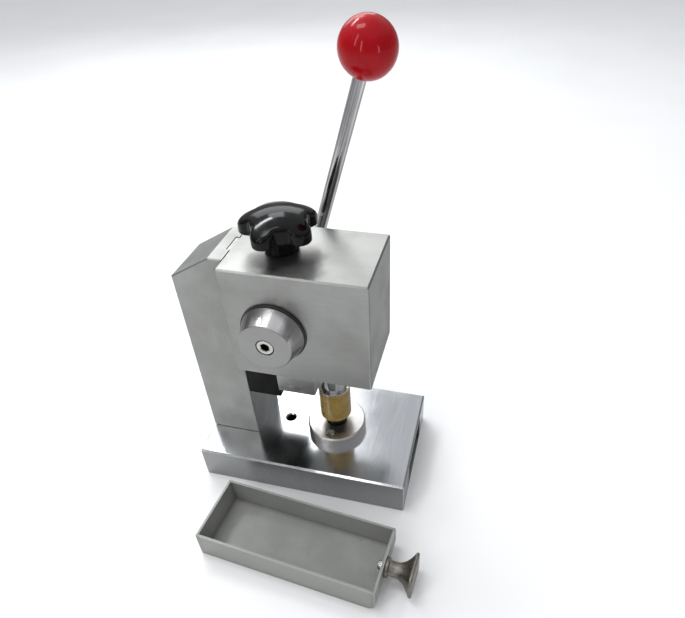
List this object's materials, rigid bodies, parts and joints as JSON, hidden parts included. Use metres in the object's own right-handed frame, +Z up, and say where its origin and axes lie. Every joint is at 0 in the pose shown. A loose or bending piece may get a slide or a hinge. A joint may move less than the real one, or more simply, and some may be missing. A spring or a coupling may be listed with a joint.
{
  "type": "lever punch press",
  "caption": "Bench lever press with a rack-driven ram, punch and die on a ground base, a locking star knob, and a pull-out tray.",
  "frame": {"origin": "the ram's axis on the plane that the base stands on", "axes": "+Z up along the ram's axis, +X from the column to the front of the base, +Y to the lever's side"},
  "size_m": [0.2107, 0.2156, 0.3694],
  "materials": {
    "ground_steel": "ground and polished",
    "satin_steel": "satin ground",
    "black_oxide": "black oxide",
    "turned_steel": "turned",
    "zinc_screw": "bright plated",
    "bronze": "machined",
    "chrome_rod": "hard chromed",
    "red_ball": "glossy",
    "black_plastic": "glossy",
    "black_washer": "matte",
    "black_punch": "black",
    "amber_sleeve": "satin cast",
    "grey_paint": "satin",
    "knob_metal": "antique nickel"
  },
  "bodies": {
    "frame": {"base_plate": "ground_steel", "column": "satin_steel", "head_block": "satin_steel", "support_block": "black_oxide", "support_screws": "black_oxide", "head_screws": "black_oxide", "column_screws": "black_oxide", "anvil_disc": "turned_steel", "anvil_screws": "zinc_screw", "ram_bush": "bronze", "shaft_bush_near": "bronze", "shaft_bush_far": "bronze"},
    "lever_drive": {"pinion_shaft": "turned_steel", "pinion": "turned_steel", "pinion_key": "turned_steel", "hub_key": "turned_steel", "side_cap": "turned_steel", "cap_washer": "black_washer", "cap_screw": "zinc_screw", "thrust_washer": "bronze", "lever_hub": "turned_steel", "hub_grub_screw": "black_oxide", "hub_end_washer": "zinc_screw", "hub_end_screw": "zinc_screw", "lever_rod": "chrome_rod", "ball_knob": "red_ball"},
    "ram_slide_body": {"ram": "chrome_rod", "rack": "turned_steel", "rack_screws": "zinc_screw", "punch": "black_punch", "stripper_sleeve": "amber_sleeve", "sleeve_ring": "turned_steel"},
    "brake": {"brake_shoe": "bronze"},
    "brake_knob": {"star_knob": "black_plastic", "brake_stud": "zinc_screw"},
    "drawer": {"tray": "grey_paint", "tray_knob": "knob_metal", "tray_knob_screw": "zinc_screw"}
  },
  "joints": [
    {"name": "lever_turn", "type": "hinge", "parent": "frame", "child": "lever_drive", "pos_m": [-0.031, 0, 0.173], "axis": [0, 1, 0], "range_deg": [-60, 12]},
    {"name": "ram_travel", "type": "slide", "parent": "frame", "child": "ram_slide_body", "axis": [0, 0, -1], "range_m": [-0.019, 0.0039]},
    {"name": "brake_travel", "type": "slide", "parent": "frame", "child": "brake", "axis": [0, 0, -1], "range_m": [-0.00057, 0.00031]},
    {"name": "star_knob_turn", "type": "hinge", "parent": "brake", "child": "brake_knob", "pos_m": [-0.031, 0, 0.224], "axis": [0, 0, -1], "range_deg": [-135, 72]},
    {"name": "drawer_pull", "type": "slide", "parent": "frame", "child": "drawer", "axis": [0.9959, -0.0906, 0], "range_m": [-0.04, 0.1]}
  ],
  "couplings": [
    {"joint": "ram_travel", "follows": "lever_turn", "m_per_rad": 0.018},
    {"joint": "brake_travel", "follows": "star_knob_turn", "m_per_rad": 0.00023873}
  ]
}
